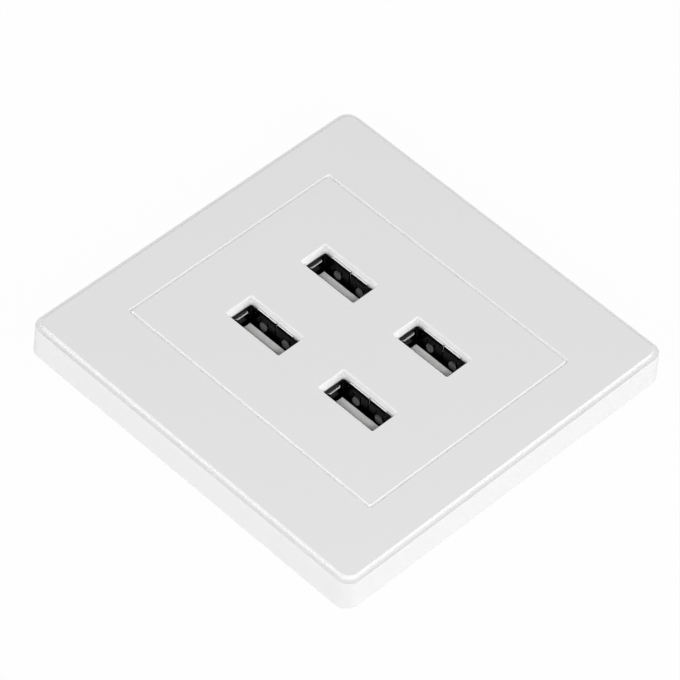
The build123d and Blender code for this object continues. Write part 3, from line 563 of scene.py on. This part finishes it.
# Cover frame: one drafted white moulding that clips over the flange and hides the wall screws.
# Its raised face stands a step above the rim, and a thin groove is left round the panel.
# The walls' lighter white is painted light, as on the socket body
cover_finish = satin_white("cover white", face_white, painted_lit_wall=(0.90, 0.90, 0.90, 1))
coat(cover_finish, "cover_frame")

# Floor: a plain pale sheet that the housing's back rests on. It looks white to the camera and in
# reflections, and keeps a soft shadow.
floor_gap, floor_half = 0.00002, 3.0
white_share = 0.975
floor_level = cad_box[0][2] - floor_gap
floor_mesh = bpy.data.meshes.new("floor")
floor_mesh.from_pydata(
    [(x * floor_half, y * floor_half, floor_level) for x, y in ((-1, -1), (1, -1), (1, 1), (-1, 1))],
    [],
    [(0, 1, 2, 3)],
)
floor = bpy.data.objects.new("floor", floor_mesh)
bpy.context.scene.collection.objects.link(floor)
floor_finish = bpy.data.materials.new("floor paper")
floor_finish.use_nodes = True
tree = floor_finish.node_tree
tree.nodes.clear()


def seen_directly(tree):
    rays = place(tree, "LightPath").outputs
    seen = rays["Is Camera Ray"]
    for kind in ("Is Glossy Ray", "Is Transmission Ray"):
        seen = place(tree, "Math", {0: seen, 1: rays[kind]}, operation="MAXIMUM").outputs[0]
    return seen


paper = place(tree, "BsdfDiffuse", {"Color": (0.7, 0.7, 0.7, 1)})
white = place(tree, "Emission", {"Color": (1, 1, 1, 1), "Strength": 1.0})
share = place(tree, "Math", {0: seen_directly(tree), 1: white_share}, operation="MULTIPLY")
blend = place(tree, "MixShader", {0: share.outputs[0], 1: paper.outputs[0], 2: white.outputs[0]})
place(tree, "OutputMaterial", {"Surface": blend.outputs[0]})
floor_mesh.materials.append(floor_finish)

# Studio light: pale walls all round and a white backdrop. One large soft box stands above the camera and
# one behind, and a low one at each side brightens the plate's edges.
wall_strength = 0.27
lamp_distance = 1.2
world = bpy.data.worlds.new("studio")
bpy.context.scene.world = world
world.use_nodes = True
tree = world.node_tree
tree.nodes.clear()
walls = place(tree, "Background", {"Color": (1, 1, 1, 1), "Strength": wall_strength})
backdrop = place(tree, "Background", {"Color": (1, 1, 1, 1), "Strength": 1.0})
blend = place(tree, "MixShader", {0: seen_directly(tree), 1: walls.outputs[0], 2: backdrop.outputs[0]})
place(tree, "OutputWorld", {"Surface": blend.outputs[0]})


def from_middle(turn, height):
    """Points from the part towards a turn to its right and a height above it, both in degrees."""
    turn, height = radians(turn), radians(height)
    return Vector((sin(turn) * cos(height), -cos(turn) * cos(height), sin(height)))


def soft_box(name, turn, height, brightness, width, tall):
    """A flat lamp. Brightness is what it adds to a white surface that faces it."""
    lamp = bpy.data.lights.new(name, "AREA")
    lamp.shape = "RECTANGLE"
    lamp.size = width
    lamp.size_y = tall
    lamp.energy = brightness * pi * pi * lamp_distance**2
    holder = bpy.data.objects.new(name, lamp)
    bpy.context.scene.collection.objects.link(holder)
    aim = from_middle(turn, height)
    facing = aim.to_track_quat("Z", "Y").to_matrix().to_4x4()
    holder.matrix_world = Matrix.Translation(aim * lamp_distance) @ facing


soft_box("upper light", turn=-49, height=44, brightness=0.535, width=0.6, tall=0.2)
soft_box("back light", turn=131, height=14, brightness=0.28, width=0.9, tall=0.3)
soft_box("left light", turn=-120, height=12, brightness=0.28, width=0.9, tall=0.3)
soft_box("right light", turn=30, height=12, brightness=0.41, width=0.9, tall=0.3)
bpy.context.scene.view_settings.view_transform = "Standard"

# Camera: looks down on the near corner of the plate from the lower left, through a long lens and a
# little rolled, as the photograph was taken.
camera_turn, camera_height, camera_roll = -49.39, 48.54, radians(5.816)
camera_distance = 0.8541
aim_point = Vector((0, 0, 0.0068))
back = from_middle(camera_turn, camera_height)
level_right = Vector((cos(radians(camera_turn)), sin(radians(camera_turn)), 0))
upright = back.cross(level_right)
right = cos(camera_roll) * level_right + sin(camera_roll) * upright
up = cos(camera_roll) * upright - sin(camera_roll) * level_right
lens = bpy.data.cameras.new("camera")
lens.sensor_width = 36
lens.lens = 238.27
lens.shift_x = -0.0123
lens.shift_y = -0.00215
lens.clip_start = 0.01
camera = bpy.data.objects.new("camera", lens)
bpy.context.scene.collection.objects.link(camera)
stance = Matrix((right, up, back)).transposed().to_4x4()
camera.matrix_world = Matrix.Translation(aim_point + back * camera_distance) @ stance
bpy.context.scene.camera = camera
